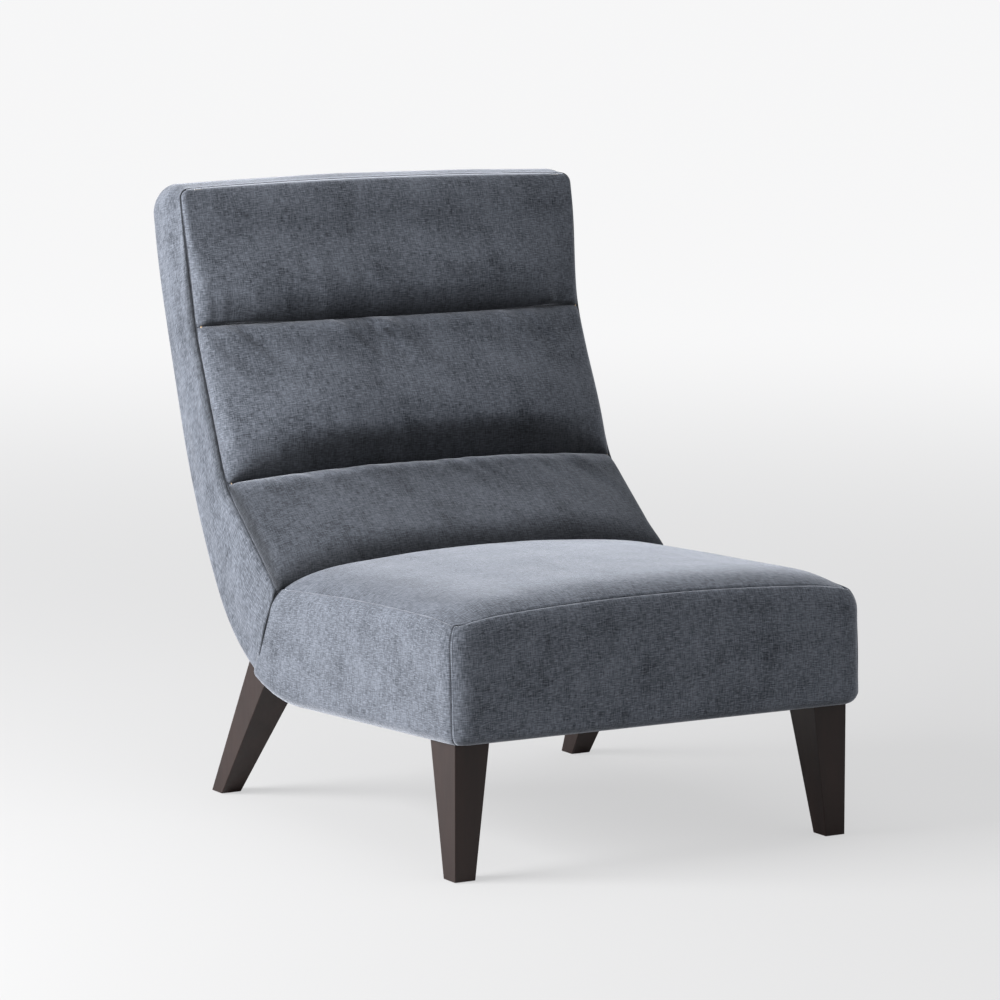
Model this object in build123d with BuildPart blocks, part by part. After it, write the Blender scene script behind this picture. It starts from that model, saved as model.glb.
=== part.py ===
"""Armless lounge chair with a three-channel back, a tight crowned seat and four tapered legs.

Millimetres, +Z up, the chair faces -Y. The origin is on the floor under the middle of the chair.
Side outlines give y from the front of the seat. Along the pitched seat, u runs back and v runs up.
"""
import os
from math import cos, radians, sin, tan

from build123d import *

os.makedirs("parts", exist_ok=True)

# Overall sizes
overall_width = 686.0
back_height = 914.0
leg_height = 197.0

# Seat
seat_pitch = 2.5
seat_thickness = 172.0
seat_length = 528.0
seat_crown = 25.0
seat_front_bulge = 6.0
seat_top_radius = 30.0
seat_base_radius = 22.0
seat_seam_drop = 6.0

# Back channels, from the seat upwards: share of the run up the back and lean back from upright
channel_names = ("lower", "middle", "upper")
channel_shares = (0.323, 0.372, 0.305)
channel_leans = (50.5, 23.2, 11.4)
channel_top_drop = 9.0
channel_depth = 32.0
channel_crown = 9.0
channel_roll = 24.0
channel_end_depth = 9.0
channel_shoulder = 80.0

# Rear of the back: heel arc, waist arc, straight run and nape arc, with their direction angles
heel_start = 484.0
heel_radius = 290.0
heel_end_angle = 55.0
waist_radius = 900.0
waist_end_angle = 72.5
nape_radius = 900.0
nape_end_angle = 79.5
brow_run = 73.0
top_radius = 45.0
side_seam_angle = 22.0
back_edge_radius = 22.0

# Cloth and padding
cover_thickness = 2.0
side_padding_depth = 14.0
front_padding_depth = 16.0
frame_inset = 6.0
lining_thickness = 3.0
lining_start_angle = 39.0
under_hem = 32.0
rear_hem = 440.0
dust_cover_thickness = 0.8
dust_cover_margin = 24.0
outside_back_margin = 24.0
outside_back_drop = 38.0
fit_gap = 0.3

# Timber frame
ply = 25.0
rail_top = 98.0
rear_rail_bottom = 20.0
rear_rail_setback = 20.0
lightening_radius = 52.0
lightening_angle = 38.0
back_rail_width = 58.0
back_rail_rise = 14.0
base_rail_angle = 46.0
base_rail_length = 66.0

# Seat suspension
spring_count = 5
spring_pitch = 108.0
spring_wire = 3.8
spring_half_width = 24.0
spring_loops = 8
spring_bend_share = 0.3
clip_width = 16.0
clip_length = 18.0
clip_thickness = 1.5
felt_thickness = 4.0

# Back suspension
strap_width = 52.0
strap_thickness = 2.0
strap_shares = (0.25, 0.75)

# Legs and their fixings
leg_inset = 17.0
front_leg_setback = 30.0
rear_leg_setback = 748.0
leg_top = 60.0
leg_foot = 33.0
rear_leg_front_rake = 37.5
rear_leg_back_rake = 30.6
block_length = 84.0
block_height = 52.0
rear_block_angle = 27.0
rear_block_length = 68.0
bolt_radius = 4.0
bolt_inset = 40.0
bolt_setback = 64.0
bolt_in_leg = 36.0
bolt_past_nut = 4.0
tee_flange_radius = 11.0
tee_flange_thickness = 1.6
tee_barrel_radius = 5.5
tee_barrel_length = 10.0
glide_radius = 12.0
glide_thickness = 3.0
glide_nail_radius = 1.25
glide_nail_length = 14.0
nail_sides = 6
hole_sides = 12
bolt_clearance = 0.4

# Derived places
overrun = 4 * cover_thickness
reach = 2 * overall_width
half_width = overall_width / 2
frame_half = half_width - side_padding_depth
inner_half = frame_half - ply
lining_inset = cover_thickness + fit_gap
strap_room = strap_thickness + fit_gap
spring_level = rail_top + clip_thickness + spring_wire / 2
felt_level = rail_top + spring_wire + 2 * (clip_thickness + fit_gap)
foam_level = felt_level + felt_thickness + fit_gap
block_base = cover_thickness + fit_gap
block_top = block_base + block_height
bolt_x = half_width - leg_inset - bolt_inset
glide_x = half_width - leg_inset - leg_foot / 2
leg_loft_top = leg_height + leg_top
sides = {"left": -1, "right": 1}
pitch_sin, pitch_cos = sin(radians(seat_pitch)), cos(radians(seat_pitch))


def arc_end(start, radius, angle_from, angle_to):
    """End of an arc that turns upwards from one direction angle to another."""
    a, b = radians(angle_from), radians(angle_to)
    return (start[0] + radius * (sin(b) - sin(a)), start[1] + radius * (cos(a) - cos(b)))


def seat_point(u, v):
    """A point u along the seat and v above its underside, as y and z."""
    return (u * pitch_cos + v * pitch_sin, leg_height - u * pitch_sin + v * pitch_cos)


heel_point = seat_point(heel_start, 0)
heel_centre = seat_point(heel_start, heel_radius)
waist_point = arc_end(heel_point, heel_radius, -seat_pitch, heel_end_angle)
straight_point = arc_end(waist_point, waist_radius, heel_end_angle, waist_end_angle)
waist_slope, nape_slope = radians(waist_end_angle), radians(nape_end_angle)
nape_rise = nape_radius * (cos(waist_slope) - cos(nape_slope)) + brow_run * sin(nape_slope)
straight_run = (back_height - nape_rise - straight_point[1]) / sin(waist_slope)
nape_point = (
    straight_point[0] + straight_run * cos(waist_slope),
    straight_point[1] + straight_run * sin(waist_slope),
)
nape_end = arc_end(nape_point, nape_radius, waist_end_angle, nape_end_angle)
top_rear = (nape_end[0] + brow_run * cos(nape_slope), back_height)

# The foremost point lies on the seat's bulged front and the rearmost on the rounded top corner
front_rise = seat_thickness + seat_crown
front_arc = (front_rise**2 / 4 + seat_front_bulge**2) / (2 * seat_front_bulge)
front_reach = front_arc - (front_arc - seat_front_bulge) * pitch_cos - front_rise / 2 * pitch_sin
top_arc_y = top_rear[0] - top_radius * (1 / tan(nape_slope) + 1 / sin(nape_slope))
front_y = (front_reach - top_arc_y - top_radius) / 2

creases = [seat_point(seat_length, seat_thickness)]
channels_rise = back_height - channel_top_drop - creases[0][1]
rise_per_run = sum(share * cos(radians(lean)) for share, lean in zip(channel_shares, channel_leans))
channel_lengths = [share * channels_rise / rise_per_run for share in channel_shares]
for channel_length, channel_lean in zip(channel_lengths, channel_leans):
    foot = creases[-1]
    lean = radians(channel_lean)
    creases.append((foot[0] + channel_length * sin(lean), foot[1] + channel_length * cos(lean)))


def at(point):
    """Moves a y, z point from the seat-front datum to the chair's own frame."""
    return (point[0] + front_y, point[1])


def front_line(step_back):
    """The crease points, moved square to the channels towards the rear of the back."""
    leans = (channel_leans[0], *channel_leans, channel_leans[-1])
    line = []
    for point, below, above in zip(creases, leans, leans[1:]):
        mean = radians((below + above) / 2)
        reach = step_back / cos(radians(above - below) / 2)
        line.append(at((point[0] + reach * cos(mean), point[1] - reach * sin(mean))))
    return line


def heel_place(angle, depth):
    """A point on the heel where its direction has that angle, depth inside the cloth."""
    radius = heel_radius - depth
    turn = radians(angle)
    return at((heel_centre[0] + radius * sin(turn), heel_centre[1] - radius * cos(turn)))


def seat_plane(x):
    """Upright plane at x whose first axis runs back along the pitched seat."""
    return Plane(origin=(x, front_y, leg_height), x_dir=(0, pitch_cos, -pitch_sin), z_dir=(1, 0, 0))


def deck_plane(v):
    """Plane v above the seat's underside and parallel to it, with x across the chair."""
    y, z = at(seat_point(0, v))
    return Plane(origin=(0, y, z), x_dir=(1, 0, 0), z_dir=(0, pitch_sin, pitch_cos))


seat_front_plane = Plane(origin=deck_plane(0).origin, x_dir=(1, 0, 0), z_dir=(0, -pitch_cos, pitch_sin))


def channel_plane(index, x):
    """Upright plane at x whose first axis runs up a channel and whose second points forwards."""
    lean = radians(channel_leans[index])
    y, z = at(creases[index])
    return Plane(origin=(x, y, z), x_dir=(0, sin(lean), cos(lean)), z_dir=(1, 0, 0))


def bolt_plane(end, side):
    """Plane on the outside of the cloth at a leg bolt, with z running up into the frame."""
    if end == "front":
        y, z = at(seat_point(bolt_setback, 0))
        inward = (0, pitch_sin, pitch_cos)
    else:
        y, z = heel_place(rear_block_angle, 0)
        turn = radians(rear_block_angle)
        inward = (0, -sin(turn), cos(turn))
    return Plane(origin=(sides[side] * bolt_x, y, z), x_dir=(1, 0, 0), z_dir=inward)


def back_form(cut, step_back, half):
    """The upholstered back, drawn in by cut round the rear and top, with its front stepped back."""
    seam_angle = side_seam_angle + step_back / radians(heel_radius)
    with BuildPart() as form:
        with BuildSketch(Plane.YZ):
            with BuildLine():
                turn = radians(seam_angle)
                start = heel_place(seam_angle, cut)
                heel = JernArc(start, (cos(turn), sin(turn)), heel_radius - cut, heel_end_angle - seam_angle)
                waist = JernArc(heel @ 1, heel % 1, waist_radius - cut, waist_end_angle - heel_end_angle)
                run = Line(waist @ 1, waist @ 1 + straight_run * (waist % 1))
                nape = JernArc(run @ 1, run % 1, nape_radius - cut, nape_end_angle - waist_end_angle)
                rise = (back_height - cut - (nape @ 1).Y) / sin(nape_slope)
                front = front_line(step_back)
                corner = nape @ 1 + rise * (nape % 1)
                brow = (front[3][0], back_height - cut)
                FilletPolyline(nape @ 1, corner, brow, radius=top_radius - cut)
                Polyline(brow, *front[::-1], start)
            make_face()
        extrude(amount=half, both=True)
    return form.part


def rounded_back(cut, step_back):
    """The back form with the rounded long edges that its cloth is pulled over."""
    with BuildPart() as form:
        add(back_form(cut, step_back, half_width - cut))
        ends = form.faces().filter_by(Plane.YZ)
        brow_y = front_line(step_back)[-1][0]
        outline = ends.edges()
        rear = [edge for edge in outline if edge.center().Y > brow_y or edge.geom_type == GeomType.CIRCLE]
        fillet(rear, back_edge_radius - cut)
    return form.part


def seat_form(cut):
    """The upholstered seat, drawn in by cut, before it is cut off along its seams to the back."""
    half = half_width - cut
    with BuildPart() as form:
        with BuildSketch(seat_plane(0)) as section:
            with BuildLine():
                base = Line((cut, cut), (heel_start, cut))
                heel = JernArc(base @ 1, (1, 0), heel_radius - cut, heel_end_angle)
                front_top = (cut, front_rise - cut)
                Polyline(heel @ 1, ((heel @ 1).X, front_rise - cut), front_top)
                ThreePointArc(front_top, (cut - seat_front_bulge, front_rise / 2), (cut, cut))
            make_face()
            fillet(section.vertices().sort_by_distance((cut, cut))[0], seat_base_radius - cut)
        extrude(amount=half, both=True)
        with BuildSketch(seat_front_plane):
            with BuildLine():
                side_top = seat_thickness - cut
                ThreePointArc((-half, side_top), (0, front_rise - cut), (half, side_top))
                Polyline((half, side_top), (half, -cut), (-half, -cut), (-half, side_top))
            make_face()
        extrude(amount=reach, both=True, mode=Mode.INTERSECT)
        across = [edge for edge in form.edges() if abs(edge.center().X) < fit_gap]
        top_edge = ShapeList(across).sort_by(Axis.Z)[-2:].sort_by(Axis.Y)[0]
        fillet(top_edge, seat_top_radius - cut)
    return form.part


def lean_between(index, other):
    """How far a channel's end wall draws in per depth, so that neighbours meet on a common plane."""
    if other not in range(len(channel_leans)):
        return 0.0
    return tan(radians(abs(channel_leans[index] - channel_leans[other]) / 2))


def channel_form(index, cut):
    """One padded channel that slopes to the border at its ends, drawn in except along its open rear."""
    length = channel_lengths[index]
    front = channel_depth - cut
    lean = radians(channel_leans[index])
    end_fall = channel_depth + channel_crown - channel_end_depth
    with BuildPart() as form:
        with BuildSketch(channel_plane(index, 0)) as section:
            with BuildLine():
                low = (cut + front * lean_between(index, index - 1), front)
                high = (length - cut - front * lean_between(index, index + 1), front)
                Polyline(high, (length - cut, 0), (cut, 0), low)
                ThreePointArc(low, (length / 2, front + channel_crown), high)
            make_face()
            fillet(section.vertices().sort_by(Axis.Y)[-2:], channel_roll - cut)
        extrude(amount=half_width - cut, both=True)
        for sign in sides.values():
            end_plane = channel_plane(index, sign * half_width)
            corner = end_plane.from_local_coords((0, channel_end_depth - cut, 0))
            outward = (sign * end_fall, -channel_shoulder * cos(lean), channel_shoulder * sin(lean))
            split(bisect_by=Plane(origin=corner, x_dir=end_plane.x_dir, z_dir=outward), keep=Keep.BOTTOM)
    return form.part


def leg_form(foot_front, foot_back, top_front, top_back, side):
    """A tapered leg from its glide up into the upholstery, upright on its outer face."""
    outer = half_width - leg_inset
    rise = leg_loft_top - glide_thickness
    taper = (leg_top - leg_foot) / (leg_height - glide_thickness)
    with BuildPart() as form:
        for z, near, far, width in (
            (glide_thickness, foot_front, foot_back, leg_foot),
            (leg_loft_top, top_front, top_back, leg_foot + taper * rise),
        ):
            with BuildSketch(Plane.XY.offset(z)):
                with Locations((sides[side] * (outer - width / 2), front_y + (near + far) / 2)):
                    Rectangle(width, far - near)
        loft(ruled=True)
    return form.part


def box_between(plane, x_range, y_range, height):
    """A plain block standing on a plane, for cutting one piece of cloth or foam from another."""
    with BuildPart() as block:
        with BuildSketch(plane):
            with Locations((sum(x_range) / 2, sum(y_range) / 2)):
                Rectangle(x_range[1] - x_range[0], y_range[1] - y_range[0])
        extrude(amount=height)
    return block.part


# Whole forms that the separate pieces are cut from
outer_seat = seat_form(0)
outer_back = rounded_back(0, 0)

# Everything behind the seams where the seat meets the back and its lowest channel
with BuildPart() as behind_seat:
    with BuildSketch(Plane.YZ):
        with BuildLine():
            seam_top = at(creases[0])
            seam_heel = Vector(*heel_place(side_seam_angle, 0))
            seam_foot = seam_heel + overrun * (seam_heel - Vector(*seam_top)).normalized()
            lean = radians(channel_leans[0])
            seam_brow = (seam_top[0] - reach * cos(lean), seam_top[1] + reach * sin(lean))
            Polyline(seam_foot, seam_top, seam_brow, (reach, reach), (reach, seam_foot.Y), close=True)
        make_face()
    extrude(amount=reach, both=True)

with BuildPart() as seat_skin:
    add(outer_seat)
    add(seat_form(cover_thickness), mode=Mode.SUBTRACT)
    add(behind_seat.part, mode=Mode.SUBTRACT)

with BuildPart() as back_skin:
    add(outer_back)
    add(rounded_back(cover_thickness, -overrun), mode=Mode.SUBTRACT)

# Where the cloth of the seat top, seat front, heel and outside back is divided
with BuildPart() as seat_top_zone:
    with BuildSketch(seat_front_plane):
        with BuildLine():
            seam_v = seat_thickness - seat_seam_drop
            seam_half = half_width + overrun
            low_left, low_right = (-seam_half, seam_v), (seam_half, seam_v)
            ThreePointArc(low_left, (0, seam_v + seat_crown), low_right)
            Polyline(low_right, (seam_half, reach), (-seam_half, reach), low_left)
        make_face()
    extrude(amount=reach, both=True)

with BuildPart() as seat_front_zone:
    with BuildSketch(deck_plane(-overrun)):
        with BuildLine():
            Polyline((-reach, half_width - reach), (reach, half_width - reach), (0, half_width), close=True)
        make_face()
    extrude(amount=reach)

heel_zone = box_between(
    deck_plane(-overrun),
    (outside_back_margin - half_width, half_width - outside_back_margin),
    (rear_hem, reach),
    seat_thickness / 2,
)

with BuildPart() as outside_back_zone:
    add(back_form(-overrun, -overrun, half_width - outside_back_margin))
    add(back_form(outside_back_margin, -2 * overrun, half_width), mode=Mode.SUBTRACT)
    split(bisect_by=Plane.XY.offset(back_height - outside_back_drop), keep=Keep.BOTTOM)

with BuildPart() as bolt_holes:
    for end in ("front", "rear"):
        for side in sides:
            with BuildSketch(bolt_plane(end, side)):
                RegularPolygon(bolt_radius + bolt_clearance, hole_sides, major_radius=False)
            extrude(amount=block_top + tee_flange_radius, both=True)

with BuildPart() as barrel_holes:
    for end in ("front", "rear"):
        for side in sides:
            with BuildSketch(bolt_plane(end, side).offset(block_top - tee_barrel_length - fit_gap)):
                RegularPolygon(tee_barrel_radius + fit_gap, hole_sides)
            extrude(amount=2 * tee_barrel_length)

# Side frames: plywood, one piece from the front of the seat to the top of the back
lumbar, crook = front_line(0)[:2]
heel_edge = heel_place(lightening_angle, 0)
hole_y = (lumbar[0] + crook[0]) / 4 + heel_edge[0] / 2
hole_z = (lumbar[1] + crook[1]) / 4 + heel_edge[1] / 2
for side, sign in sides.items():
    with BuildPart() as side_frame:
        add(back_form(frame_inset, strap_room, frame_half))
        with BuildSketch(seat_plane(0)):
            with BuildLine():
                base = Line((front_padding_depth, frame_inset), (heel_start, frame_inset))
                heel = JernArc(base @ 1, (1, 0), heel_radius - frame_inset, heel_end_angle / 2)
                Polyline(heel @ 1, (seat_length, rail_top), (front_padding_depth, rail_top), base @ 0)
            make_face()
        extrude(amount=frame_half, both=True)
        with BuildSketch(Plane.YZ):
            with Locations((hole_y, hole_z)):
                Circle(lightening_radius)
        extrude(amount=reach, both=True, mode=Mode.SUBTRACT)
        split(bisect_by=Plane.YZ.offset(sign * inner_half), keep=Keep.TOP if sign > 0 else Keep.BOTTOM)
    side_frame.part.label = f"side_frame_{side}"
    export_step(side_frame.part, f"parts/side_frame_{side}.step")

# Seat rails: boards set on edge between the side frames
with BuildPart() as front_rail:
    with BuildSketch(seat_plane(0)):
        with Locations((front_padding_depth + ply / 2, (frame_inset + rail_top) / 2)):
            Rectangle(ply, rail_top - frame_inset)
    extrude(amount=inner_half, both=True)
front_rail.part.label = "front_rail"
export_step(front_rail.part, "parts/front_rail.step")

rear_rail_middle = seat_length - rear_rail_setback + ply / 2
with BuildPart() as rear_seat_rail:
    with BuildSketch(seat_plane(0)):
        with Locations((rear_rail_middle, (rear_rail_bottom + rail_top) / 2)):
            Rectangle(ply, rail_top - rear_rail_bottom)
    extrude(amount=inner_half, both=True)
rear_seat_rail.part.label = "rear_seat_rail"
export_step(rear_seat_rail.part, "parts/rear_seat_rail.step")

# Back rails: boards behind each crease, and a base rail inside the heel for the outside back cloth
rail_place = back_rail_rise + back_rail_width / 2
back_rails = {
    "lumbar_rail": (channel_plane(0, 0), rail_place),
    "lower_crease_rail": (channel_plane(1, 0), rail_place),
    "upper_crease_rail": (channel_plane(2, 0), rail_place),
    "top_rail": (channel_plane(2, 0), channel_lengths[-1] - rail_place),
}
for name, (plane, place) in back_rails.items():
    with BuildPart() as back_rail:
        with BuildSketch(plane):
            with Locations((place, -strap_room - ply / 2)):
                Rectangle(back_rail_width, ply)
        extrude(amount=inner_half, both=True)
    back_rail.part.label = name
    export_step(back_rail.part, f"parts/{name}.step")

with BuildPart() as base_rail:
    y, z = heel_place(base_rail_angle, frame_inset + lining_thickness + ply / 2)
    with BuildSketch(Plane.YZ):
        with Locations((y, z)):
            Rectangle(base_rail_length, ply, rotation=base_rail_angle)
    extrude(amount=inner_half, both=True)
base_rail.part.label = "base_rail"
export_step(base_rail.part, "parts/base_rail.step")

# Corner blocks that carry the legs: pentagons at the front, coped to the heel at the rear
rail_back = front_padding_depth + ply
for side, sign in sides.items():
    with BuildPart() as front_block:
        with BuildSketch(deck_plane(block_base)):
            with BuildLine():
                far, near = inner_half - block_length, inner_half - bolt_inset
                Polyline(
                    (sign * inner_half, rail_back),
                    (sign * inner_half, rail_back + block_length),
                    (sign * near, rail_back + block_length),
                    (sign * far, rail_back + bolt_inset),
                    (sign * far, rail_back),
                    close=True,
                )
            make_face()
        extrude(amount=block_height)
        add(bolt_holes.part, mode=Mode.SUBTRACT)
        add(barrel_holes.part, mode=Mode.SUBTRACT)
    front_block.part.label = f"front_leg_block_{side}"
    export_step(front_block.part, f"parts/front_leg_block_{side}.step")

    with BuildPart() as rear_block:
        place = bolt_plane("rear", side).offset(-overrun)
        with BuildSketch(place):
            with Locations((sign * (inner_half - bolt_x) - sign * block_length / 2, 0)):
                Rectangle(block_length, rear_block_length)
        extrude(amount=block_top + overrun)
        with BuildSketch(Plane.YZ):
            with Locations(at(heel_centre)):
                Circle(heel_radius - block_base)
        extrude(amount=reach, both=True, mode=Mode.INTERSECT)
        add(bolt_holes.part, mode=Mode.SUBTRACT)
        add(barrel_holes.part, mode=Mode.SUBTRACT)
    rear_block.part.label = f"rear_leg_block_{side}"
    export_step(rear_block.part, f"parts/rear_leg_block_{side}.step")

# Seat suspension: flat zigzag springs held to the rails by clips, under a felt deck
spring_front = front_padding_depth + ply / 2
spring_rear = rear_rail_middle
spring_step = (spring_rear - spring_front) / spring_loops
spring_bend = spring_bend_share * spring_step
spring_rows = [(i - (spring_count - 1) / 2) * spring_pitch for i in range(spring_count)]
with BuildPart() as seat_springs:
    for row in spring_rows:
        with BuildLine(deck_plane(spring_level)) as wire:
            ends_of_wire = []
            bends = []
            for step in range(spring_loops + 1):
                swing = spring_half_width if step % 2 else -spring_half_width
                inside = swing * (1 - spring_bend / spring_half_width)
                u = spring_front + step * spring_step
                if step:
                    bends += [(row - swing, u - spring_bend), (row - inside, u)]
                else:
                    ends_of_wire.append((row - swing, u))
                if step < spring_loops:
                    bends += [(row + inside, u), (row + swing, u + spring_bend)]
                else:
                    ends_of_wire.append((row + swing, u))
            Polyline(ends_of_wire[0], *bends, ends_of_wire[1])
        with BuildSketch(Plane(origin=wire.line @ 0, z_dir=wire.line % 0)):
            RegularPolygon(spring_wire / 2, 6)
        sweep(path=wire.line, transition=Transition.RIGHT)
seat_springs.part.label = "seat_springs"
export_step(seat_springs.part, "parts/seat_springs.step")

with BuildPart() as spring_clips:
    grip = spring_wire / 2 + fit_gap
    rear_shift = spring_half_width / 2 if spring_loops % 2 else -spring_half_width / 2
    for u, way, shift in ((spring_front, 1, spring_half_width / 2), (spring_rear, -1, rear_shift)):
        for row in spring_rows:
            with BuildSketch(seat_plane(row + shift)):
                with BuildLine():
                    tail, nose = u - way * clip_length / 2, u + way * (grip + clip_thickness)
                    low, high = rail_top, spring_level + grip + clip_thickness
                    Polyline(
                        (tail, low),
                        (nose, low),
                        (nose, high),
                        (u - way * grip, high),
                        (u - way * grip, high - clip_thickness),
                        (nose - way * clip_thickness, high - clip_thickness),
                        (nose - way * clip_thickness, low + clip_thickness - fit_gap),
                        (tail, low + clip_thickness - fit_gap),
                        close=True,
                    )
                make_face()
            extrude(amount=clip_width / 2, both=True)
spring_clips.part.label = "spring_clips"
export_step(spring_clips.part, "parts/spring_clips.step")

with BuildPart() as deck_felt:
    with BuildSketch(deck_plane(felt_level)):
        with Locations((0, (front_padding_depth + spring_rear + ply / 2) / 2)):
            Rectangle(2 * (inner_half - fit_gap), spring_rear + ply / 2 - front_padding_depth - 2 * fit_gap)
    extrude(amount=felt_thickness)
deck_felt.part.label = "deck_felt"
export_step(deck_felt.part, "parts/deck_felt.step")

# Back suspension: webbing stapled across the front edges of the side frames
with BuildPart() as back_webbing:
    for index, length in enumerate(channel_lengths):
        free = length - back_rail_rise - back_rail_width
        for share in strap_shares:
            place = back_rail_rise + back_rail_width + share * free - back_rail_rise / 2
            with BuildSketch(channel_plane(index, 0)):
                with Locations((place, -strap_room + strap_thickness / 2)):
                    Rectangle(strap_width, strap_thickness)
            extrude(amount=frame_half, both=True)
back_webbing.part.label = "back_webbing"
export_step(back_webbing.part, "parts/back_webbing.step")

# Foam and wadding: a shaped seat slab, a skirt round the rails, channel fillings and side pads
above_rails = box_between(deck_plane(rail_top + fit_gap), (-reach, reach), (-reach, reach), reach)
spring_room = box_between(
    deck_plane(0), (-inner_half, inner_half), (front_padding_depth, spring_rear + ply / 2), foam_level
)
frame_room = box_between(
    deck_plane(-overrun),
    (-frame_half - fit_gap, frame_half + fit_gap),
    (front_padding_depth - fit_gap, reach),
    reach,
)
with BuildPart() as seat_filling:
    add(seat_form(lining_inset))
    add(behind_seat.part, mode=Mode.SUBTRACT)

with BuildPart() as seat_foam:
    add(seat_filling.part)
    add(above_rails, mode=Mode.INTERSECT)
    add(spring_room, mode=Mode.SUBTRACT)
seat_foam.part.label = "seat_foam"
export_step(seat_foam.part, "parts/seat_foam.step")

with BuildPart() as seat_skirt_padding:
    add(seat_filling.part)
    add(above_rails, mode=Mode.SUBTRACT)
    add(frame_room, mode=Mode.SUBTRACT)
seat_skirt_padding.part.label = "seat_skirt_padding"
export_step(seat_skirt_padding.part, "parts/seat_skirt_padding.step")

for index, name in enumerate(channel_names):
    with BuildPart() as channel_foam:
        add(channel_form(index, lining_inset))
        with BuildSketch(channel_plane(index, 0)):
            Rectangle(reach, 2 * fit_gap)
        extrude(amount=reach, both=True, mode=Mode.SUBTRACT)
    channel_foam.part.label = f"{name}_channel_foam"
    export_step(channel_foam.part, f"parts/{name}_channel_foam.step")

for side, sign in sides.items():
    with BuildPart() as side_pad:
        add(rounded_back(lining_inset, fit_gap))
        split(
            bisect_by=Plane.YZ.offset(sign * (frame_half + fit_gap)),
            keep=Keep.TOP if sign > 0 else Keep.BOTTOM,
        )
    side_pad.part.label = f"back_side_pad_{side}"
    export_step(side_pad.part, f"parts/back_side_pad_{side}.step")

with BuildPart() as outside_back_lining:
    add(back_form(lining_inset, fit_gap, half_width - outside_back_margin))
    add(back_form(lining_inset + lining_thickness, -overrun, reach), mode=Mode.SUBTRACT)
    turn = radians(lining_start_angle)
    y, z = heel_place(lining_start_angle, 0)
    split(bisect_by=Plane(origin=(0, y, z), z_dir=(0, cos(turn), sin(turn))), keep=Keep.TOP)
outside_back_lining.part.label = "outside_back_lining"
export_step(outside_back_lining.part, "parts/outside_back_lining.step")

# Cloth covers, cut where the chair is seamed
with BuildPart() as seat_top_cover:
    add(seat_skin.part)
    add(seat_top_zone.part, mode=Mode.INTERSECT)
seat_top_cover.part.label = "seat_top_cover"
export_step(seat_top_cover.part, "parts/seat_top_cover.step")

base_opening = box_between(
    deck_plane(-overrun), (under_hem - half_width, half_width - under_hem), (under_hem, rear_hem), 2 * overrun
)
with BuildPart() as seat_boxing:
    add(seat_skin.part)
    add(seat_top_zone.part, mode=Mode.SUBTRACT)
    add(heel_zone, mode=Mode.SUBTRACT)
    add(base_opening, mode=Mode.SUBTRACT)

with BuildPart() as seat_front_cover:
    add(seat_boxing.part)
    add(seat_front_zone.part, mode=Mode.INTERSECT)
seat_front_cover.part.label = "seat_front_cover"
export_step(seat_front_cover.part, "parts/seat_front_cover.step")

for side, sign in sides.items():
    with BuildPart() as seat_side_cover:
        add(seat_boxing.part)
        add(seat_front_zone.part, mode=Mode.SUBTRACT)
        split(bisect_by=Plane.YZ, keep=Keep.TOP if sign > 0 else Keep.BOTTOM)
    seat_side_cover.part.label = f"seat_side_cover_{side}"
    export_step(seat_side_cover.part, f"parts/seat_side_cover_{side}.step")

for index, name in enumerate(channel_names):
    with BuildPart() as channel_cover:
        add(channel_form(index, 0))
        add(channel_form(index, cover_thickness), mode=Mode.SUBTRACT)
    channel_cover.part.label = f"{name}_channel_cover"
    export_step(channel_cover.part, f"parts/{name}_channel_cover.step")

with BuildPart() as back_border_cover:
    add(back_skin.part)
    add(outside_back_zone.part, mode=Mode.SUBTRACT)
back_border_cover.part.label = "back_border_cover"
export_step(back_border_cover.part, "parts/back_border_cover.step")

with BuildPart() as heel_cover:
    add(seat_skin.part)
    add(heel_zone, mode=Mode.INTERSECT)

with BuildPart() as outside_back_cover:
    add(back_skin.part)
    add(outside_back_zone.part, mode=Mode.INTERSECT)
    add(heel_cover.part)
    add(bolt_holes.part, mode=Mode.SUBTRACT)
outside_back_cover.part.label = "outside_back_cover"
export_step(outside_back_cover.part, "parts/outside_back_cover.step")

with BuildPart() as dust_cover:
    with BuildSketch(deck_plane(-dust_cover_thickness)):
        with Locations((0, (dust_cover_margin + heel_start) / 2)):
            Rectangle(2 * (half_width - dust_cover_margin), heel_start - dust_cover_margin)
    extrude(amount=dust_cover_thickness)
    add(bolt_holes.part, mode=Mode.SUBTRACT)
dust_cover.part.label = "dust_cover"
export_step(dust_cover.part, "parts/dust_cover.step")

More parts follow.
